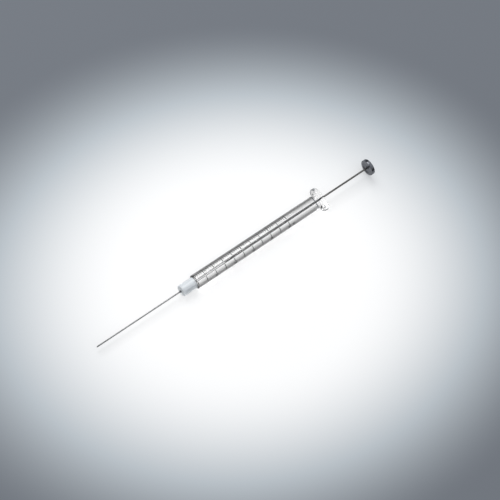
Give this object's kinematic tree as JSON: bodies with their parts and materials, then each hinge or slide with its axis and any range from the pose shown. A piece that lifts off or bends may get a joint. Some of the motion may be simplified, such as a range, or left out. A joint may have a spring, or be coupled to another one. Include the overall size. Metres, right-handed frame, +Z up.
{
  "type": "microsyringe",
  "caption": "Glass microsyringe with a fixed steel needle in a translucent plastic hub, black graduations, an oval finger flange and a plain metal plunger with a disc button.",
  "frame": {"origin": "on the table under the middle of the syringe's bounding box", "axes": "+X along the syringe from the needle towards the plunger button, +Z up; the barrel's axis rises towards the button by less than a degree, as the syringe lies on its barrel's front edge and its wider flange"},
  "size_m": [0.1792, 0.0137, 0.0098],
  "materials": {
    "glass": "clear, polished borosilicate",
    "enamel": "black fired enamel",
    "hub_plastic": "translucent, satin",
    "needle_steel": "drawn, satin",
    "cement": "dark cured resin",
    "rod_steel": "ground",
    "button_metal": "turned, dark"
  },
  "bodies": {
    "barrel": {"glass_barrel": "glass", "scale_graduations": "enamel", "needle_hub": "hub_plastic", "needle_cannula": "needle_steel", "needle_cement": "cement"},
    "plunger": {"plunger_rod": "rod_steel", "plunger_button": "button_metal"}
  },
  "joints": [
    {"name": "plunger_slide", "type": "slide", "parent": "barrel", "child": "plunger", "axis": [0.9999, 0, 0.0116], "range_m": [-0.01987, 0.04008]}
  ]
}
